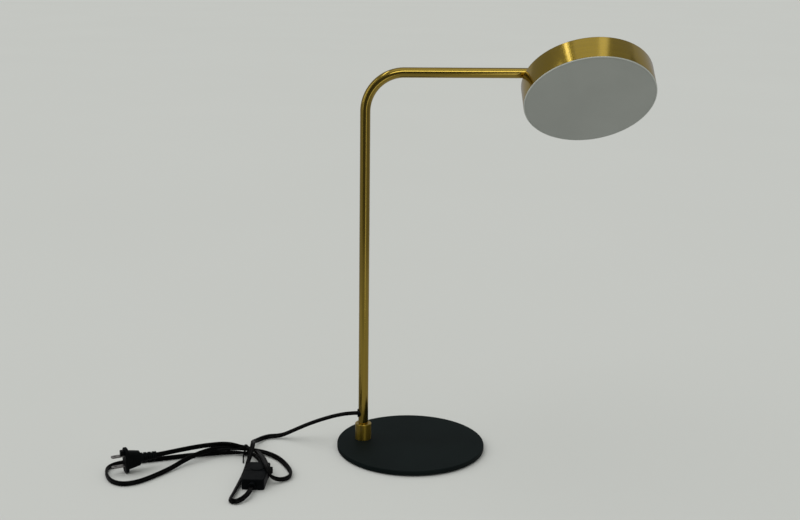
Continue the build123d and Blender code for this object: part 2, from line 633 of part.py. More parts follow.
def plug():
    """Moulded plug with grooved strain relief, grip body and eared flange, and its two blades."""
    neck = PLUG_RELIEF_DIA / 2
    wide, tall = PLUG_BODY_WIDE, PLUG_BODY_TALL
    body_start = PLUG_RELIEF_LONG
    body_end = body_start + PLUG_BODY_LONG
    face = body_end + PLUG_FLANGE_THICK
    relief_faces = [
        Pos(0, 0, 0) * ALONG_X * Circle(neck),
        Pos(body_start, 0, 0) * ALONG_X * Circle(neck + PLUG_RELIEF_FLARE),
    ]
    relief = loft(relief_faces)
    for step in range(RELIEF_GROOVE_COUNT):
        start = RELIEF_GROOVE_START + RELIEF_GROOVE_PITCH * step
        flare = PLUG_RELIEF_FLARE * start / PLUG_RELIEF_LONG
        relief -= tube_x(2 * neck, neck - RELIEF_GROOVE_DEEP + flare, start, start + RELIEF_GROOVE_WIDE)
    grip_start = Plane((body_start, 0, 0), x_dir=(0, 1, 0), z_dir=(1, 0, 0))
    grip_end = Plane((body_end, 0, 0), x_dir=(0, 1, 0), z_dir=(1, 0, 0))
    grip = loft([
        grip_start * RectangleRounded(wide - PLUG_BODY_TAPER[0], tall - PLUG_BODY_TAPER[1], PLUG_BODY_CORNER),
        grip_end * RectangleRounded(wide, tall, PLUG_BODY_CORNER),
    ])
    outline = RectangleRounded(wide + PLUG_FLANGE_LIP, 2 * PLUG_AXIS_HEIGHT, PLUG_FLANGE_CORNER)
    flange = grip_end * extrude(outline, PLUG_FLANGE_THICK)
    flange_edges = flange.edges().group_by(Axis.X)
    flange = fillet(flange_edges[0] + flange_edges[-1], PLUG_FLANGE_ROUND)
    key = Pos(face + PLUG_KEY_SIZE[0] / 2, 0, PLUG_KEY_HEIGHT) * Box(*PLUG_KEY_SIZE)
    key = fillet(key.edges().group_by(Axis.X)[-1], PLUG_KEY_ROUND)
    save("plug_body", PLUG * (relief + grip + flange + key))

    length, wide, thick = BLADE_SIZE
    blade = Pos(face + length / 2, 0, 0) * Box(length, wide, thick)
    blade = chamfer(blade.edges().filter_by(Axis.Z).group_by(Axis.X)[-1], BLADE_CHAMFER)
    blade -= Pos(face + length - BLADE_HOLE_INSET, 0, 0) * Cylinder(BLADE_HOLE_DIA / 2, 2 * thick)
    for number, side in enumerate((1, -1), 1):
        save(f"plug_blade_{number}", PLUG * Pos(0, 0, side * BLADE_SPACING / 2) * blade)


def cord_tie(paths):
    """Wire tie drawn round the runs that pass its place, with its twisted tail hanging free."""
    plane = Plane((TIE_PLACE, 0, 0), x_dir=(0, 1, 0), z_dir=(1, 0, 0))
    spots = []
    for path in paths:
        count = int(path.length)
        points = [path @ (i / count) for i in range(count + 1)]
        for a, b in zip(points, points[1:]):
            if (a.X - TIE_PLACE) * (b.X - TIE_PLACE) < 0:
                spots.append(a + (b - a) * ((TIE_PLACE - a.X) / (b.X - a.X)))

    def hull(reach):
        return make_hull([(Pos(spot.Y, spot.Z) * Circle(reach)).edge() for spot in spots])

    inside = CORD_DIA / 2 + TIE_CLEAR
    band = plane * extrude(hull(inside + TIE_THICK) - hull(inside), TIE_WIDE / 2, both=True)
    outer_run = min(spots, key=lambda spot: spot.Y)
    knot = outer_run - Vector(0, inside + TIE_THICK / 2, 0)
    tail_line = FilletPolyline(knot, knot + Vector(*TIE_TWIST), knot + Vector(*TIE_TAIL), radius=TIE_TAIL_BEND)
    tail = sweep((tail_line ^ 0) * Circle(TIE_THICK), path=tail_line)
    print("tie runs", len(spots), "lowest", round(band.bounding_box().min.Z, 2))
    save("cord_tie", band + tail)


def cords():
    """Lead from the stem, loop into the switch, hank from the switch to the plug."""
    outlet = STEM * Location((-GROMMET_REACH, 0, OUTLET_HEIGHT))
    after_outlet = STEM * Location((-GROMMET_REACH - OUTLET_RUN, 0, OUTLET_HEIGHT))
    switch_in = SWITCH * Location((-SWITCH_BOSS_LONG, 0, SWITCH_TALL / 2))
    before_in = SWITCH * Location((-SWITCH_BOSS_LONG - SWITCH_RUN_IN, 0, SWITCH_TALL / 2))
    switch_out = SWITCH * Location((SWITCH_LONG + SWITCH_BOSS_LONG, 0, SWITCH_TALL / 2))
    after_out = SWITCH * Location((SWITCH_LONG + SWITCH_BOSS_LONG + SWITCH_RUN_OUT, 0, SWITCH_TALL / 2))
    plug_before = PLUG * Location((-PLUG_RUN, 0, 0))
    lead = cord("cord_lead", [tuple(outlet.position), tuple(after_outlet.position), *LEAD_ROUTE])
    loop = cord("cord_loop", [*LOOP_ROUTE, tuple(before_in.position), tuple(switch_in.position)])
    hank = cord("cord_hank", [tuple(switch_out.position), tuple(after_out.position), *HANK_ROUTE,
                              tuple(plug_before.position), tuple(PLUG.position)])
    for name, gap in (
        ("hank to itself", least_gap(hank)),
        ("loop to itself", least_gap(loop)),
        ("loop to hank", least_gap(loop, hank)),
    ):
        state = "clear" if gap[0] > CORD_GAP else "TOO CLOSE"
        print(name, round(gap[0], 2), state, [round(v, 1) for v in gap[1]], [round(v, 1) for v in gap[2]])
    cord_tie([hank])


base()
collar()
stem()
arm_end()
saddle()
head()
switch()
plug()
cords()
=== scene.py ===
from math import atan2, cos, pi, radians, sin

import bmesh
import bpy
from bpy.props import FloatProperty, FloatVectorProperty, PointerProperty
from mathutils import Matrix, Vector


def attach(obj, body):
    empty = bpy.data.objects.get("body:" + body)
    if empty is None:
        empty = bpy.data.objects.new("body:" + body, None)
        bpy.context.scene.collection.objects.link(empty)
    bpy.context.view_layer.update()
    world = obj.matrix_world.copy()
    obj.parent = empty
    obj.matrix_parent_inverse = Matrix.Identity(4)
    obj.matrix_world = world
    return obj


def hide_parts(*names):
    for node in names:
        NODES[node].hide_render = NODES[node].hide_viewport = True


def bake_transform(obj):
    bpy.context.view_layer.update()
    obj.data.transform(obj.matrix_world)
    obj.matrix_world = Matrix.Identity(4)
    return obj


bl_info = {
    "name": "Desk lamp",
    "version": (1, 0, 0),
    "blender": (4, 5, 0),
    "location": "View3D > Sidebar > Desk lamp",
    "description": "Dresses the desk lamp's frame with its finishes, cord, switch and stage",
    "category": "Object",
}

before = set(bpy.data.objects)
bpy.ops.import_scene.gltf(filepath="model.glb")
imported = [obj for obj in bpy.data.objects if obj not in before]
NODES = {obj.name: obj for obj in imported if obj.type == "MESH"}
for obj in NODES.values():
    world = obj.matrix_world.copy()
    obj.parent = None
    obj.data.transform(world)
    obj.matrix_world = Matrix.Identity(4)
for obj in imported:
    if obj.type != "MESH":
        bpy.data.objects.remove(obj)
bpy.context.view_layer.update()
MM = 0.001

# Places and sizes shared with the solids, in millimetres and degrees
FOOT_TOP = 7.0
STEM_X = -59.4
COLLAR_RADIUS = 10.0
COLLAR_WELL_RADIUS = 7.6
COLLAR_WELL_FLOOR = 9.5
COLLAR_BORE_RADIUS = 5.1
COLLAR_TOP = 27.0
TUBE_RADIUS = 6.0
TUBE_WALL = 1.0
TUBE_BEND = 45.0
TUBE_BOTTOM = 17.05
ARM_HEIGHT = 457.0
ARM_REACH = 258.0
ARM_PAST_HEAD = 13.15
ARM_TURN = 15.0
HEAD_ROLL = -45.0
HEAD_RADIUS = 77.0
HEAD_WALL = 1.2
HEAD_BACK = -10.75
HEAD_RIM = -39.25
HEAD_FACE = -40.25
OPAL_LIP_RADIUS = 76.9
OPAL_WALL_RADIUS = 75.6
OPAL_BORE_RADIUS = 74.0
OPAL_THICK = 2.2
OPAL_TOP = -27.25
SWITCH_END = (-153.4, -161.1, 0.0)
SWITCH_TURN = 97.0

# Details that only the dressed pieces have, in millimetres
COLLAR_EDGE = 0.8
COLLAR_WELL_EDGE = 0.3
RIM_EDGE = 0.35
RIM_INNER_EDGE = 0.25
GROOVE_RADIUS = 75.1
GROOVE_DEEP = 0.3
GROOVE_EDGE = 0.12
LIP_EDGE = 0.7
BOSS_ALONG = 33.6
BOSS_RADIUS = 8.4
BOSS_LOW = 12.6
BOSS_TOP = 13.7
BOSS_EDGE = 0.6

# How finely the round pieces are made, and the angle past which an edge shows sharp
ARC_STEPS = 6
COLLAR_STEPS = 128
HEAD_STEPS = 192
BOSS_STEPS = 64
TUBE_STEPS = 64
BEND_STEPS = 40
CORD_STEPS = 8
SHARP_ANGLE = 32.0
MERGE_GAP = 0.0005

COLLAR = Matrix.Translation((STEM_X, 0, 0))
STEM = COLLAR @ Matrix.Rotation(radians(ARM_TURN), 4, "Z")
HEAD = STEM @ Matrix.Translation((ARM_REACH, 0, ARM_HEIGHT)) @ Matrix.Rotation(radians(HEAD_ROLL), 4, "X")
SWITCH = Matrix.Translation(SWITCH_END) @ Matrix.Rotation(radians(SWITCH_TURN), 4, "Z")

# The view, in metres: its place, and the directions of its right, its top and its line of sight
VIEW_PLACE = (0.2286, -1.4072, 0.5926)
VIEW_RIGHT = (0.98455, 0.1746, 0.01343)
VIEW_UP = (-0.05507, 0.2359, 0.97022)
VIEW_AHEAD = (-0.16624, 0.95596, -0.24187)
SENSOR_WIDTH = 36.0
VIEW_END = 200.0

# Cord routes, stem to switch and then switch to plug: the solids' own points, drawn a little closer in
# the bundle. A fourth number is the flat cord's tilt in degrees, 90 where it stands on its edge.
SWITCH_LEAD_ROUTE = [
    (-66.35, -1.86, 39.8, -15), (-73.12, -3.68, 39.8, -15), (-86, -6, 38, -15),
    (-103, -7, 32.8, -18), (-126, -6.6, 23, -20), (-147, -6.2, 11.8, -20), (-159.5, -6.4, 5.2, -25),
    (-168, -8.4, 3.6, -45), (-176.5, -10.4, 3.3, -65), (-183.4, -18, 3.3, -70),
    (-186.8, -30, 4.6, -60), (-186.8, -42.5, 8.2, -40), (-184, -55.5, 13.4, -20),
    (-180.5, -68, 16.2), (-178.2, -85, 11.4, 15), (-176.8, -103, 5.4, 35), (-174.6, -122, 3.3, 45),
    (-172.6, -143, 3.2, 45), (-170.8, -164, 3.2, 45), (-169.6, -183, 3.2, 50),
    (-168.8, -197, 3.3, 60), (-164, -201, 3.3, 75), (-158.2, -199.4, 3.6, 60),
    (-153.4, -190, 5.0, 25), (-151.33, -177.97, 6.5), (-152.67, -167.05, 6.5),
]
PLUG_LEAD_ROUTE = [
    (-160.23, -105.52, 6.5), (-162.2, -95.6, 6.5), (-172, -81, 5.4), (-180, -70.6, 3.9),
    (-192, -68.2, 3.9, 15), (-207, -70, 3.6, 75), (-222, -74.5, 3.4, 85), (-238, -81, 3.2, 85),
    (-254.6, -88.4, 3.1, 85), (-270.6, -97, 3.05, 90), (-286, -105.6, 3.05, 90),
    (-301.5, -114, 3.05, 90), (-317, -120.8, 3.05, 90), (-329, -128.8, 3.05, 90),
    (-334.5, -141, 3.05, 90), (-331.5, -154, 3.05, 90), (-324, -167.5, 3.05, 90),
    (-313.5, -178.5, 3.05, 90), (-299.5, -182, 3.05, 90), (-286.5, -174, 3.05, 90),
    (-277, -160, 3.05, 90), (-269, -144.5, 3.05, 80), (-260.5, -128, 3.8, 70),
    (-252, -109.5, 6.4, 75), (-241, -96, 9.2, 80), (-228.5, -81.8, 10.6, 80),
    (-214, -72.2, 9.9, 70), (-200, -63.6, 7.0, 20), (-185, -58, 4.2), (-171, -60, 3.4, 20),
    (-161.5, -64.6, 3.4, 35), (-152.5, -70.4, 3.3, 45), (-144, -77.8, 3.1, 45),
    (-134.8, -89.4, 3.0, 45), (-126.4, -102.6, 3.1, 60), (-121.2, -113.5, 3.1, 80),
    (-120.4, -124.4, 3.1, 85), (-124.6, -132.4, 3.3, 80), (-131, -136.8, 4.4, 65),
    (-138.2, -140.2, 9.0, 40), (-141.2, -137.6, 14.4, 15), (-145, -131, 16.4), (-150, -119.4, 15.8),
    (-155, -108.5, 15.2), (-160.3, -98.5, 14.2), (-166, -88.5, 12.5), (-171.5, -79, 10.8),
    (-178, -72, 9.8), (-186, -67.4, 9.8), (-199, -66, 11.8, 30), (-213, -68, 13.6, 75),
    (-229, -75, 13.8, 90), (-246, -87, 14.2, 90), (-261, -101.5, 14.8, 90),
    (-274.62, -115.34, 15.2, 90), (-282.5, -121.5, 15.2, 90),
]
# Quarter of the flat twin cord's outline, from the groove between the cores to the edge
CORD_OUTLINE = [
    (0.0, 1.12), (0.4, 1.34), (0.95, 1.56), (1.5, 1.6), (2.1, 1.42), (2.6, 0.96), (2.86, 0.4), (2.9, 0.0)]

# Brushed lines to the metre, across and along the tube
DRAWN_FINE = (5200.0, 14.0, 0.0)
DRAWN_BROAD = (900.0, 5.0, 0.0)
# Lines to the metre on turned and spun brass, the broad ones' share of that, and how they wander
RING_FINE = 5200
RING_BROAD = (0.16, 0.16, 0.16)
RING_WANDER = (22.0, 22.0, 0.0)
LACQUER = {"Coat Weight": 0.7, "Coat Roughness": 0.1}
TURNING_MARKS = {"Anisotropic": 0.9, "Anisotropic Rotation": 0.25}
# Painted light: the opal is painted paler at its lip between these radii, in tenths of a metre, for the
# light its rounded edge catches
PAINTED_LIP_LIGHT_BETWEEN = (0.7545, 0.757)
PAINTED_LIP_LIGHT_SCALE = 10

# Window side of the studio, and the cards that the metal reflects: place, facing, size and tone
WINDOW_SIDE = (-0.5, 0.05, 0.86)
WINDOW_SPREAD = 90.0
FLOOR_HALF = 40.0
CARDS = {
    "low_card": ((0.0, 0.0, -0.6), (0, 0, 1), (14.0, 14.0), 0.2),
    "table_card": ((0.0, 0.3, 0.0005), (0, 0, 1), (1.5, 1.5), 0.26),
    # Painted shade: a dimmer card beside the foot stands in for the shade on the floor there, as the
    # collar reflects it
    "painted_foot_shade_card": ((-0.16, -0.02, 0.0008), (0, 0, 1), (0.3, 0.2), 0.13),
    "slit_card": ((0.872, -1.301, -0.2), (-0.582, 0.813, 0), (0.34, 1.5), 0.7),
    "front_card": ((0.6, -3.4, 1.2), (0, 1, 0), (7.0, 3.6), 0.05),
    "left_card": ((-3.2, -0.2, 1.4), (1, 0, 0), (5.0, 5.0), 0.2),
    "right_card": ((3.2, -0.6, 1.2), (-1, 0, 0), (5.0, 5.0), 0.14),
    "back_card": ((0.0, 4.0, 2.0), (0, -1, 0), (14.0, 8.0), 0.29),
    "ceiling_card": ((0.0, -0.4, 3.2), (0, 0, -1), (7.0, 6.5), 0.22),
    "overhead_card": ((0.2, -0.1, 2.4), (0, 0, -1), (1.6, 1.6), 0.5),
    "soft_strip": ((0.74, -0.1, 2.39), (0, 0, -1), (0.36, 1.6), 0.82),
    "strip_card": ((-0.96, -0.1, 2.4), (0, 0, -1), (0.18, 1.6), 2.8),
    "bright_card": ((1.11, -2.12, 2.32), (-0.37, 0.72, -0.59), (2.2, 1.0), 2.0),
    "bend_card": ((-2.35, -0.78, 1.75), (0.87, 0.25, -0.42), (0.5, 2.2), 1.1),
}


class LampSizes(bpy.types.PropertyGroup):
    """Sizes that the dressed pieces take."""

    cord_width: FloatProperty(
        name="Cord width", description="Across both cores of the flat cord", default=0.0058, unit="LENGTH")
    switch_lead: FloatProperty(
        name="Lead to the switch", description="Cord from the stem to the switch",
        default=0.357, unit="LENGTH")
    plug_lead: FloatProperty(
        name="Lead to the plug", description="Cord from the switch to the plug",
        default=0.779, unit="LENGTH")
    head_edge: FloatProperty(
        name="Head edge", description="Rounding of the head's spun edge", default=0.001, unit="LENGTH")
    lens: FloatProperty(
        name="Lens", description="Focal length of the view, in millimetres", default=55.7,
        subtype="DISTANCE_CAMERA")


class LampFinishes(bpy.types.PropertyGroup):
    """Colours of the lamp's finishes."""

    brass: FloatVectorProperty(
        name="Brass", description="Satin brass of tube, collar and head", subtype="COLOR",
        default=(0.535, 0.37, 0.044), min=0, max=1)
    foot: FloatVectorProperty(
        name="Foot", description="Matt black coat of the foot", subtype="COLOR",
        default=(0.004, 0.0078, 0.0078), min=0, max=1)
    opal: FloatVectorProperty(
        name="Opal", description="Unlit opal face", subtype="COLOR",
        default=(0.344, 0.357, 0.336), min=0, max=1)
    cord: FloatVectorProperty(
        name="Cord", description="Black cord sheath", subtype="COLOR",
        default=(0.0012, 0.0012, 0.0012), min=0, max=1)
    moulding: FloatVectorProperty(
        name="Moulding", description="Black plastic of switch and plug", subtype="COLOR",
        default=(0.0026, 0.0032, 0.0036), min=0, max=1)


class LampStage(bpy.types.PropertyGroup):
    """Tone and light of the stage."""

    backdrop: FloatVectorProperty(
        name="Backdrop", description="Pale tone behind the lamp", subtype="COLOR",
        default=(0.552, 0.565, 0.53), min=0, max=1)
    floor: FloatVectorProperty(
        name="Floor", description="Pale floor under the lamp", subtype="COLOR",
        default=(0.561, 0.567, 0.557), min=0, max=1)
    light: FloatProperty(name="Light", description="Strength of the soft window light", default=1.58)


class Value:
    """A shader socket that takes Python's sums and products."""

    def __init__(self, finish, socket):
        self.finish = finish
        self.socket = socket

    def math(self, operation, other):
        return self.finish.node("ShaderNodeMath", {"operation": operation}, {0: self, 1: other})

    def __add__(self, other):
        return self.math("ADD", other)

    def __mul__(self, other):
        return self.math("MULTIPLY", other)

    __radd__ = __add__
    __rmul__ = __mul__


class Finish:
    """One surface finish: a material and the nodes that feed its shader."""

    def __init__(self, name, fixed):
        self.material = bpy.data.materials.new(name)
        self.material.use_nodes = True
        self.tree = self.material.node_tree
        self.shader = self.tree.nodes["Principled BSDF"]
        for socket, value in fixed.items():
            self.shader.inputs[socket].default_value = value

    def node(self, kind, settings=None, inputs=None, output=0):
        """Add any node: its settings first, then the values or links of its sockets."""
        made = self.tree.nodes.new(kind)
        for name, value in (settings or {}).items():
            if name == "stops":
                for stop, (place, tone) in zip(made.color_ramp.elements, value):
                    stop.position = place
                    stop.color = (tone, tone, tone, 1)
            else:
                setattr(made, name, value)
        for key, value in (inputs or {}).items():
            self.feed(made.inputs[key], value)
        return Value(self, made.outputs[output])

    def feed(self, socket, value):
        """Link a socket to a value, or set it to a number or colour."""
        if isinstance(value, Value):
            self.tree.links.new(value.socket, socket)
        else:
            socket.default_value = value

    def place(self, centre=(0, 0, 0), turn=(0, 0, 0)):
        """Places on the piece, seen from its own centre and turn."""
        coordinates = self.node("ShaderNodeTexCoord", output="Object")
        return self.node("ShaderNodeMapping", {"vector_type": "TEXTURE"}, {
            "Vector": coordinates, "Location": centre, "Rotation": turn})

    def vector(self, operation, *values, output=0):
        """Arithmetic on places."""
        return self.node("ShaderNodeVectorMath", {"operation": operation}, dict(enumerate(values)), output)

    def from_axis(self, local):
        """A place pressed flat along its axis, and its distance from that axis."""
        flat = self.vector("MULTIPLY", local, (1.0, 1.0, 0.0))
        return flat, self.vector("LENGTH", flat, output="Value")

    def noise(self, where, scale, detail=2.0):
        return self.node("ShaderNodeTexNoise", None, {"Vector": where, "Scale": scale, "Detail": detail})

    def ramp(self, value, low, high):
        return self.node("ShaderNodeValToRGB", {"stops": [(low, 0.0), (high, 1.0)]}, {"Fac": value})

    def mix(self, share, first, second):
        return self.node("ShaderNodeMix", {"data_type": "RGBA"}, {0: share, 6: first, 7: second}, 2)

    def surface(self, colour, roughness=None, height=None, depth=0.0, strength=0.0):
        """Feed the shader: colour, roughness, and a height of some depth for the bump."""
        self.feed(self.shader.inputs["Base Color"], colour)
        if roughness:
            self.feed(self.shader.inputs["Roughness"], roughness)
        if height:
            bump = self.node("ShaderNodeBump", None, {
                "Height": height, "Distance": depth, "Strength": strength})
            self.feed(self.shader.inputs["Normal"], bump)
        return self.material


def shade(colour, factor):
    """A colour made lighter or darker, with its alpha."""
    return tuple(min(1.0, part * factor) for part in colour) + (1.0,)


def brass_surface(finish, tone, fine, broad, depth, streak, gloss):
    """Satin brass: fine brushed lines in the bump, broad ones in tone and gloss."""
    colour = finish.mix(finish.ramp(broad, 0.3, 0.7), shade(tone, 1 - streak), shade(tone, 1 + streak))
    return finish.surface(colour, gloss + 0.06 * fine + 0.04 * broad, fine, depth=depth, strength=0.25)


def drawn_brass(context):
    """Tube: lines run along it, following its bend."""
    finish = Finish("drawn_brass", {"Metallic": 1.0, **LACQUER})
    along = finish.node("ShaderNodeTexCoord", output="UV")
    fine = finish.noise(finish.vector("MULTIPLY", along, DRAWN_FINE), scale=1.0, detail=3.0)
    broad = finish.noise(finish.vector("MULTIPLY", along, DRAWN_BROAD), scale=1.0)
    tone = context.scene.lamp_finishes.brass
    return brass_surface(finish, tone, fine, broad, depth=0.000012, streak=0.14, gloss=0.1)


def ringed_brass(context, name, centre, turn, depth, gloss, fixed):
    """Spun or turned brass: lines run round an axis, on its sides and its flat face alike."""
    finish = Finish(name, {"Metallic": 1.0, **LACQUER, **fixed})
    local = finish.place(centre, turn)
    tall = finish.node("ShaderNodeSeparateXYZ", None, {"Vector": local}, "Z")
    flat, away = finish.from_axis(local)
    line = finish.node("ShaderNodeCombineXYZ", None, {"X": away * RING_FINE, "Y": tall * RING_FINE})
    wander = finish.vector("MULTIPLY", flat, RING_WANDER)
    fine = finish.noise(finish.vector("ADD", line, wander), scale=1.0, detail=3.0)
    broad = finish.noise(finish.vector("MULTIPLY_ADD", line, RING_BROAD, wander), scale=1.0)
    tone = context.scene.lamp_finishes.brass
    return brass_surface(finish, tone, fine, broad, depth, streak=0.05, gloss=gloss)


def spun_brass(context):
    """Head shell and its saddle."""
    spot = HEAD.to_translation() * MM
    return ringed_brass(context, "spun_brass", spot, HEAD.to_euler(), depth=0.00004, gloss=0.12, fixed={})


def turned_brass(context):
    """Collar, whose turning marks spread its reflections up and down."""
    spot = COLLAR.to_translation() * MM
    return ringed_brass(
        context, "turned_brass", spot, (0, 0, 0), depth=0.00002, gloss=0.3, fixed=TURNING_MARKS)


def foot_coat(context):
    """Fine matt powder coat of the foot."""
    tone = context.scene.lamp_finishes.foot
    finish = Finish("foot_coat", {"Specular IOR Level": 0.1})
    where = finish.place()
    grain = finish.noise(where, scale=1500.0, detail=3.0)
    cloud = finish.noise(where, scale=14.0)
    colour = finish.mix(finish.ramp(cloud, 0.35, 0.65), shade(tone, 0.9), shade(tone, 1.12))
    return finish.surface(colour, 0.58 + 0.12 * grain, grain, depth=0.00015, strength=0.35)


def opal_plastic(context):
    """Opal face of the head, unlit, with a painted highlight on its lip."""
    tone = context.scene.lamp_finishes.opal
    finish = Finish("opal_plastic", {"Specular IOR Level": 0.4})
    where = finish.place()
    cloud = finish.noise(where, scale=18.0)
    grain = finish.noise(where, scale=2600.0)
    _, away = finish.from_axis(finish.place(HEAD.to_translation() * MM, HEAD.to_euler()))
    # Painted highlight: a ring at the lip is painted paler, standing in for light caught by the rounded
    # edge
    painted_lip_light = finish.ramp(away * PAINTED_LIP_LIGHT_SCALE, *PAINTED_LIP_LIGHT_BETWEEN)
    colour = finish.mix(finish.ramp(cloud, 0.35, 0.65), shade(tone, 0.97), shade(tone, 1.03))
    colour = finish.mix(painted_lip_light, colour, shade(tone, 1.4))
    return finish.surface(colour, 0.42 + 0.1 * grain, grain, depth=0.00005, strength=0.15)


def cord_sheath(context):
    """Soft glossy sheath of the flat cord, lightly scuffed."""
    tone = context.scene.lamp_finishes.cord
    finish = Finish("cord_sheath", {
        "Coat Roughness": 0.06, "Coat Weight": 0.12, "Specular IOR Level": 0.03})
    where = finish.place()
    scuff = finish.noise(where, scale=260.0, detail=4.0)
    grain = finish.noise(where, scale=1800.0)
    colour = finish.mix(finish.ramp(scuff, 0.5, 0.8), shade(tone, 1.0), shade(tone, 2.2))
    return finish.surface(colour, 0.2 + 0.14 * scuff, grain, depth=0.00006, strength=0.2)


def black_moulding(context):
    """Fine spark finish of the switch, plug and grommet, made once for them all."""
    made = bpy.data.materials.get("black_moulding")
    if made:
        return made
    tone = context.scene.lamp_finishes.moulding
    finish = Finish("black_moulding", {"Specular IOR Level": 0.05})
    where = finish.place()
    grain = finish.noise(where, scale=2200.0, detail=3.0)
    scuff = finish.noise(where, scale=120.0, detail=4.0)
    colour = finish.mix(finish.ramp(scuff, 0.45, 0.8), shade(tone, 1.0), shade(tone, 1.7))
    return finish.surface(colour, 0.38 + 0.16 * grain, grain, depth=0.00008, strength=0.3)


def plain_metal(name, tone, gloss, grain_scale):
    """Bright metal with a fine random grain."""
    finish = Finish(name, {"Metallic": 1.0})
    where = finish.place()
    grain = finish.noise(where, scale=grain_scale, detail=3.0)
    cloud = finish.noise(where, scale=160.0)
    colour = finish.mix(finish.ramp(cloud, 0.35, 0.7), shade(tone, 0.9), shade(tone, 1.05))
    return finish.surface(colour, gloss + 0.14 * grain, grain, depth=0.00004, strength=0.25)


def plain_stuff(name, tone, gloss, grain_scale, depth):
    """Moulded, coated or foamed stuff with its own grain."""
    finish = Finish(name, {})
    where = finish.place()
    grain = finish.noise(where, scale=grain_scale, detail=3.0)
    cloud = finish.noise(where, scale=60.0)
    colour = finish.mix(finish.ramp(cloud, 0.35, 0.7), shade(tone, 0.88), shade(tone, 1.08))
    return finish.surface(colour, gloss + 0.12 * grain, grain, depth=depth, strength=0.4)


def to_piece(context, name, bm, finish, body, nodes):
    """A finished bmesh becomes a piece in the frame, which may stand for CAD nodes."""
    mesh = bpy.data.meshes.new(name)
    bm.to_mesh(mesh)
    bm.free()
    mesh.polygons.foreach_set("use_smooth", [True] * len(mesh.polygons))
    mesh.set_sharp_from_angle(angle=radians(SHARP_ANGLE))
    piece = bpy.data.objects.new(name, mesh)
    context.collection.objects.link(piece)
    mesh.materials.append(finish)
    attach(piece, body)
    if nodes:
        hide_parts(*nodes)
    return piece


def lathe(outline, place, steps):
    """An outline of radius and height, in millimetres, spun round the place's Z axis."""
    bm = bmesh.new()
    spots = [bm.verts.new((across, 0, tall)) for across, tall in outline]
    edges = [bm.edges.new(pair) for pair in zip(spots, spots[1:])]
    bmesh.ops.spin(
        bm, geom=spots + edges, axis=(0, 0, 1), cent=(0, 0, 0), angle=2 * pi, steps=steps, use_merge=True)
    bmesh.ops.remove_doubles(bm, verts=bm.verts, dist=MERGE_GAP)
    bmesh.ops.recalc_face_normals(bm, faces=bm.faces)
    bmesh.ops.transform(bm, matrix=Matrix.Scale(MM, 4) @ place, verts=bm.verts)
    return bm


def rounded(outline):
    """An outline of radius and height. A corner with a third number becomes an arc of that radius."""
    corners = [Vector(spot[:2]) for spot in outline]
    made = []
    for number, (here, spot) in enumerate(zip(corners, outline)):
        if len(spot) == 2:
            made.append(here)
            continue
        back = (corners[number - 1] - here).normalized()
        on = (corners[number + 1] - here).normalized()
        reach = spot[2]
        centre = here + (back + on) * reach
        for step in range(ARC_STEPS + 1):
            turn = step / ARC_STEPS * pi / 2
            made.append(centre - on * reach * cos(turn) - back * reach * sin(turn))
    return made


def dress(nodes, finish):
    """CAD nodes keep their shape and take a finish."""
    for name in nodes:
        slots = NODES[name].data.materials
        slots.clear()
        slots.append(finish)


def flat_outline(context):
    """Closed outline of the flat cord as a curve, for sweeping."""
    outline = bpy.data.curves.new("cord_outline", "CURVE")
    outline.dimensions = "2D"
    right = CORD_OUTLINE + [(x, -y) for x, y in reversed(CORD_OUTLINE[:-1])]
    loop = right + [(-x, y) for x, y in reversed(right[1:-1])]
    spline = outline.splines.new("POLY")
    spline.points.add(len(loop) - 1)
    for point, (x, y) in zip(spline.points, loop):
        point.co = (x * MM, y * MM, 0, 1)
    spline.use_cyclic_u = True
    shape = bpy.data.objects.new("cord_outline", outline)
    context.collection.objects.link(shape)
    return shape


def cord_line(context, name, route):
    """A smooth line with the route's points as its control points."""
    line = bpy.data.curves.new(name, "CURVE")
    line.dimensions = "3D"
    line.resolution_u = CORD_STEPS
    line.twist_mode = "Z_UP"
    spline = line.splines.new("NURBS")
    spline.points.add(len(route) - 1)
    for point, spot in zip(spline.points, route):
        point.co = (*(part * MM for part in spot[:3]), 1)
        point.tilt = radians(spot[3]) if len(spot) > 3 else 0.0
    spline.order_u = 3
    spline.use_endpoint_u = True
    shape = bpy.data.objects.new(name, line)
    context.collection.objects.link(shape)
    return shape


def flat_cord(context, name, route, finish):
    """The flat cord's mesh along a route, and the points that it follows."""
    line = cord_line(context, name + "_line", route)
    depsgraph = context.evaluated_depsgraph_get()
    bare = bpy.data.meshes.new_from_object(line.evaluated_get(depsgraph))
    path = [tuple(vertex.co) for vertex in bare.vertices]
    outline = flat_outline(context)
    line.data.bevel_mode = "OBJECT"
    line.data.bevel_object = outline
    line.data.use_fill_caps = True
    depsgraph.update()
    mesh = bpy.data.meshes.new_from_object(line.evaluated_get(depsgraph))
    mesh.name = name
    mesh.materials.clear()
    mesh.materials.append(finish)
    mesh.polygons.foreach_set("use_smooth", [True] * len(mesh.polygons))
    piece = bpy.data.objects.new(name, mesh)
    context.collection.objects.link(piece)
    for spare in (line, outline):
        curve = spare.data
        bpy.data.objects.remove(spare)
        bpy.data.curves.remove(curve)
    return piece, path


def lid_boss(context):
    """Low round boss on the switch's lid, whose edge shows as an arc."""
    boss = [(0, BOSS_LOW), (BOSS_RADIUS, BOSS_LOW), (BOSS_RADIUS, BOSS_TOP, BOSS_EDGE), (0, BOSS_TOP)]
    bm = lathe(rounded(boss), SWITCH @ Matrix.Translation((BOSS_ALONG, 0, 0)), BOSS_STEPS)
    return to_piece(context, "lid_boss", bm, black_moulding(context), "base", [])


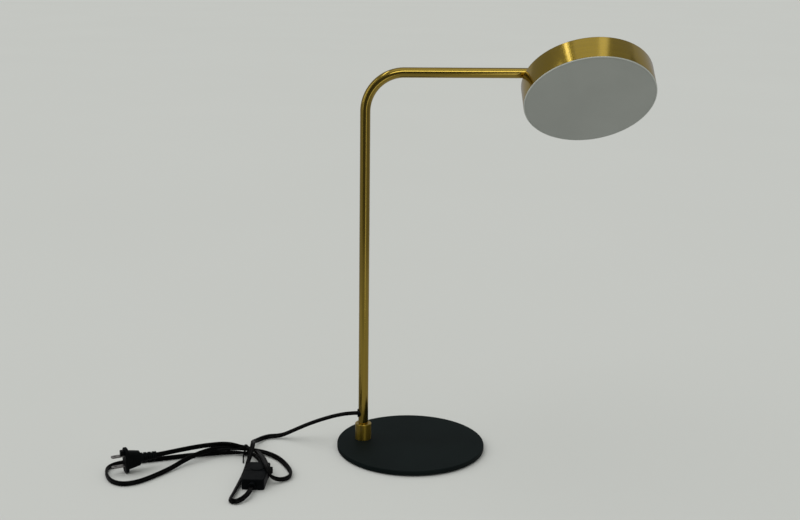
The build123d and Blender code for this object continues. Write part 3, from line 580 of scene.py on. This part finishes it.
class LAMP_OT_camera(bpy.types.Operator):
    """Set the view that the lamp is shown from."""

    bl_idname = "lamp.camera"
    bl_label = "Camera"

    def execute(self, context):
        camera = bpy.data.cameras.new("lamp_camera")
        camera.lens = context.scene.lamp_sizes.lens
        camera.sensor_width = SENSOR_WIDTH
        camera.clip_end = VIEW_END
        view = bpy.data.objects.new("lamp_camera", camera)
        context.collection.objects.link(view)
        turn = Matrix((VIEW_RIGHT, VIEW_UP, [-part for part in VIEW_AHEAD])).transposed().to_4x4()
        view.matrix_world = Matrix.Translation(VIEW_PLACE) @ turn
        context.scene.camera = view
        return {"FINISHED"}


class LAMP_OT_cord(bpy.types.Operator):
    """Lay the flat cord from the stem to the switch and on to the plug."""

    bl_idname = "lamp.cord"
    bl_label = "Cord"

    def execute(self, context):
        sheath = cord_sheath(context)
        lead, path = flat_cord(context, "switch_lead", SWITCH_LEAD_ROUTE, sheath)
        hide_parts("cord_lead", "cord_loop")
        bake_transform(lead)
        switch = [NODES[name] for name in NODES if name.startswith("switch_")]
        switch += [NODES["rocker_pin"], lid_boss(context)]
        hank, path = flat_cord(context, "plug_lead", PLUG_LEAD_ROUTE, sheath)
        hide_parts("cord_hank")
        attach(hank, "base")
        dress(["inner_lead", "cord_tie"], sheath)
        return {"FINISHED"}


class LAMP_OT_foot(bpy.types.Operator):
    """Coat the foot, and finish its pad and every steel fastening."""

    bl_idname = "lamp.foot"
    bl_label = "Foot"

    def execute(self, context):
        dress(["base_plate"], foot_coat(context))
        dress(["base_pad"],
              plain_stuff("foam_pad", (0.02, 0.02, 0.02), gloss=0.8, grain_scale=900.0, depth=0.0004))
        steel = plain_metal("bright_steel", (0.56, 0.56, 0.55), gloss=0.25, grain_scale=2400.0)
        dress(["base_stud", "base_washer", "base_nut", "collar_screw", "saddle_screw_1", "saddle_screw_2",
               "plate_screw_1", "plate_screw_2", "plate_screw_3", "switch_screw_1", "switch_screw_2",
               "rocker_pin", "plate_post_1", "plate_post_2", "plate_post_3"], steel)
        return {"FINISHED"}


class LAMP_OT_collar(bpy.types.Operator):
    """Turn the brass collar that holds the stem, and finish the nylon bearings."""

    bl_idname = "lamp.collar"
    bl_label = "Collar"

    def execute(self, context):
        outline = [
            (COLLAR_BORE_RADIUS, FOOT_TOP), (COLLAR_RADIUS, FOOT_TOP),
            (COLLAR_RADIUS, COLLAR_TOP, COLLAR_EDGE), (COLLAR_WELL_RADIUS, COLLAR_TOP, COLLAR_WELL_EDGE),
            (COLLAR_WELL_RADIUS, COLLAR_WELL_FLOOR), (COLLAR_BORE_RADIUS, COLLAR_WELL_FLOOR)]
        made = rounded(outline)
        bm = lathe(made + made[:1], COLLAR, COLLAR_STEPS)
        brass = turned_brass(context)
        to_piece(context, "collar", bm, brass, "base", ["stem_collar"])
        dress(["collar_bush"], brass)
        nylon = plain_stuff("nylon", (0.55, 0.53, 0.48), gloss=0.45, grain_scale=1500.0, depth=0.0001)
        dress(["thrust_washer", "saddle_sleeve"], nylon)
        return {"FINISHED"}


class LAMP_OT_tube(bpy.types.Operator):
    """Bend the brass tube of the stem and arm."""

    bl_idname = "lamp.tube"
    bl_label = "Tube"

    def execute(self, context):
        bm = bmesh.new()
        ends = bmesh.ops.create_circle(bm, segments=TUBE_STEPS, radius=TUBE_RADIUS)["verts"]
        bmesh.ops.translate(bm, vec=(0, 0, TUBE_BOTTOM), verts=ends)
        straight = ARM_HEIGHT - TUBE_BEND
        ring = self.run_on(bm, list(bm.edges), (0, 0, straight - TUBE_BOTTOM))
        turned = bmesh.ops.spin(
            bm, geom=ring + list({spot for edge in ring for spot in edge.verts}), axis=(0, 1, 0),
            cent=(TUBE_BEND, 0, straight), angle=pi / 2, steps=BEND_STEPS)
        ring = [part for part in turned["geom_last"] if isinstance(part, bmesh.types.BMEdge)]
        self.run_on(bm, ring, (ARM_REACH + ARM_PAST_HEAD - TUBE_BEND, 0, 0))
        bmesh.ops.recalc_face_normals(bm, faces=bm.faces)
        self.follow(bm, straight)
        bmesh.ops.solidify(bm, geom=bm.faces[:], thickness=TUBE_WALL)
        bmesh.ops.transform(bm, matrix=Matrix.Scale(MM, 4) @ STEM, verts=bm.verts)
        to_piece(context, "tube", bm, drawn_brass(context), "stem", ["stem_tube"])
        return {"FINISHED"}

    def run_on(self, bm, ring, step):
        """Extrude an open ring of edges along a step, and give the new ring."""
        made = bmesh.ops.extrude_edge_only(bm, edges=ring)["geom"]
        spots = [part for part in made if isinstance(part, bmesh.types.BMVert)]
        bmesh.ops.translate(bm, vec=step, verts=spots)
        fresh = set(spots)
        return [part for part in made if isinstance(part, bmesh.types.BMEdge) and set(part.verts) <= fresh]

    def follow(self, bm, straight):
        """UV map in metres: round the tube, and along its bent axis."""
        near = 0.001
        layer = bm.loops.layers.uv.new("UVMap")
        for face in bm.faces:
            spots = []
            for loop in face.loops:
                x, y, z = loop.vert.co
                if z <= straight + near:
                    along, out = z, -x
                elif x >= TUBE_BEND - near:
                    along, out = straight + TUBE_BEND * pi / 2 + x - TUBE_BEND, z - ARM_HEIGHT
                else:
                    along = straight + TUBE_BEND * atan2(z - straight, TUBE_BEND - x)
                    out = Vector((TUBE_BEND - x, z - straight)).length - TUBE_BEND
                spots.append((atan2(y, out), along))
            split = max(spots)[0] - min(spots)[0] > pi
            for loop, (turn, along) in zip(face.loops, spots):
                if split and turn < 0:
                    turn += 2 * pi
                loop[layer].uv = (turn * TUBE_RADIUS * MM, along * MM)


class LAMP_OT_head(bpy.types.Operator):
    """Spin the brass head shell and its opal face, and finish what the head holds."""

    bl_idname = "lamp.head"
    bl_label = "Head"

    def execute(self, context):
        edge = context.scene.lamp_sizes.head_edge / MM
        inner = HEAD_RADIUS - HEAD_WALL
        shell = [
            (0, HEAD_BACK), (HEAD_RADIUS, HEAD_BACK, edge), (HEAD_RADIUS, HEAD_RIM, RIM_EDGE),
            (inner, HEAD_RIM, RIM_INNER_EDGE), (inner, HEAD_BACK - HEAD_WALL), (0, HEAD_BACK - HEAD_WALL)]
        brass = spun_brass(context)
        bm = lathe(rounded(shell), HEAD, HEAD_STEPS)
        to_piece(context, "head_shell_spun", bm, brass, "head", ["head_shell"])
        groove, within = HEAD_FACE + GROOVE_DEEP, HEAD_FACE + OPAL_THICK
        face = [
            (0, HEAD_FACE), (GROOVE_RADIUS, HEAD_FACE, GROOVE_EDGE), (GROOVE_RADIUS, groove),
            (OPAL_WALL_RADIUS, groove), (OPAL_WALL_RADIUS, HEAD_FACE, GROOVE_EDGE),
            (OPAL_LIP_RADIUS, HEAD_FACE, LIP_EDGE), (OPAL_LIP_RADIUS, HEAD_RIM),
            (OPAL_WALL_RADIUS, HEAD_RIM), (OPAL_WALL_RADIUS, OPAL_TOP), (OPAL_BORE_RADIUS, OPAL_TOP),
            (OPAL_BORE_RADIUS, within), (0, within)]
        bm = lathe(rounded(face), HEAD, HEAD_STEPS)
        to_piece(context, "opal_face", bm, opal_plastic(context), "head", ["diffuser"])
        dress(["head_saddle", "arm_stop_ring", "arm_end_cap"], brass)
        dress(["heat_plate"],
              plain_metal("plate_aluminium", (0.7, 0.7, 0.7), gloss=0.35, grain_scale=1200.0))
        dress(["led_board"],
              plain_stuff("board_white", (0.7, 0.7, 0.68), gloss=0.4, grain_scale=1500.0, depth=0.00005))
        dress(["led_chips"],
              plain_stuff("chip_yellow", (0.75, 0.55, 0.1), gloss=0.35, grain_scale=1500.0, depth=0.00005))
        dress(["led_driver"],
              plain_stuff("driver_white", (0.62, 0.62, 0.6), gloss=0.5, grain_scale=1300.0, depth=0.0001))
        dress(["stem_insert"],
              plain_metal("insert_steel", (0.5, 0.5, 0.5), gloss=0.3, grain_scale=1600.0))
        return {"FINISHED"}


class LAMP_OT_switch(bpy.types.Operator):
    """Finish the in-line switch, the plug and the grommet."""

    bl_idname = "lamp.switch"
    bl_label = "Switch and plug"

    def execute(self, context):
        dress(["switch_shell_bottom", "switch_shell_top", "switch_rocker", "plug_body", "cord_grommet"],
              black_moulding(context))
        dress(["plug_blade_1", "plug_blade_2"],
              plain_metal("blade_nickel", (0.42, 0.41, 0.39), gloss=0.24, grain_scale=2000.0))
        dress(["switch_contact_1", "switch_contact_2"],
              plain_metal("contact_brass", (0.7, 0.52, 0.2), gloss=0.3, grain_scale=1500.0))
        return {"FINISHED"}


class LAMP_OT_stage(bpy.types.Operator):
    """Lay the pale floor, hang the soft light and set the cards round the lamp."""

    bl_idname = "lamp.stage"
    bl_label = "Stage"

    def execute(self, context):
        look = context.scene.lamp_stage
        bm = bmesh.new()
        bmesh.ops.create_grid(bm, x_segments=8, y_segments=8, size=FLOOR_HALF)
        paper = Finish("floor_paper", {"Roughness": 0.9, "Specular IOR Level": 0.0})
        cloud = paper.noise(paper.place(), scale=1.2)
        paper.surface(paper.mix(cloud, shade(look.floor, 0.985), shade(look.floor, 1.015)))
        floor = self.set_down(context, "floor", bm, paper)
        floor.visible_glossy = False

        world = bpy.data.worlds.new("studio")
        world.use_nodes = True
        world.node_tree.nodes["Background"].inputs["Color"].default_value = (*look.backdrop, 1)
        context.scene.world = world
        sun = bpy.data.lights.new("window_light", "SUN")
        sun.energy = look.light
        sun.angle = radians(WINDOW_SPREAD)
        window = bpy.data.objects.new("window_light", sun)
        window.rotation_euler = Vector(WINDOW_SIDE).to_track_quat("Z", "Y").to_euler()
        window.visible_glossy = False
        context.collection.objects.link(window)
        for name, card in CARDS.items():
            self.card(context, name, *card)
        context.scene.view_settings.view_transform = "Standard"
        return {"FINISHED"}

    def card(self, context, name, place, facing, size, tone):
        """A card round the set that only the metal and gloss reflect."""
        bm = bmesh.new()
        bmesh.ops.create_grid(bm, x_segments=1, y_segments=1, size=0.5)
        bmesh.ops.scale(bm, vec=(*size, 1), verts=bm.verts)
        turn = Vector(facing).to_track_quat("Z", "Y").to_matrix()
        bmesh.ops.rotate(bm, matrix=turn, verts=bm.verts)
        bmesh.ops.translate(bm, vec=place, verts=bm.verts)
        glow = Finish(name, {
            "Base Color": (0, 0, 0, 1), "Specular IOR Level": 0.0,
            "Emission Color": (1, 1, 1, 1), "Emission Strength": tone})
        sheet = self.set_down(context, name, bm, glow)
        sheet.visible_camera = False
        sheet.visible_diffuse = False
        sheet.visible_transmission = False
        sheet.visible_shadow = False

    def set_down(self, context, name, bm, finish):
        """A finished bmesh becomes a part of the stage."""
        mesh = bpy.data.meshes.new(name)
        bm.to_mesh(mesh)
        bm.free()
        mesh.materials.append(finish.material)
        made = bpy.data.objects.new(name, mesh)
        context.collection.objects.link(made)
        return made


class LAMP_PT_panel(bpy.types.Panel):
    """Pieces of the desk lamp in the order they are made, then its sizes, finishes and stage."""

    bl_label = "Desk lamp"
    bl_space_type = "VIEW_3D"
    bl_region_type = "UI"
    bl_category = "Desk lamp"

    def draw(self, context):
        for step in STEPS:
            self.layout.operator(step.bl_idname)
        for group, kind in GROUPS.items():
            for name in kind.__annotations__:
                self.layout.prop(getattr(context.scene, group), name)


STEPS = (LAMP_OT_camera, LAMP_OT_cord, LAMP_OT_foot, LAMP_OT_collar, LAMP_OT_tube, LAMP_OT_head,
         LAMP_OT_switch, LAMP_OT_stage)
GROUPS = {"lamp_sizes": LampSizes, "lamp_finishes": LampFinishes, "lamp_stage": LampStage}


def register():
    for group in GROUPS.values():
        bpy.utils.register_class(group)
    for name, group in GROUPS.items():
        setattr(bpy.types.Scene, name, PointerProperty(type=group))
    for step in (*STEPS, LAMP_PT_panel):
        bpy.utils.register_class(step)


def unregister():
    for step in (*STEPS, LAMP_PT_panel):
        bpy.utils.unregister_class(step)
    for name, group in GROUPS.items():
        delattr(bpy.types.Scene, name)
        bpy.utils.unregister_class(group)


def main():
    register()
    for step in STEPS:
        section, name = step.bl_idname.split(".")
        getattr(getattr(bpy.ops, section), name)()


if __name__ == "__main__":
    main()
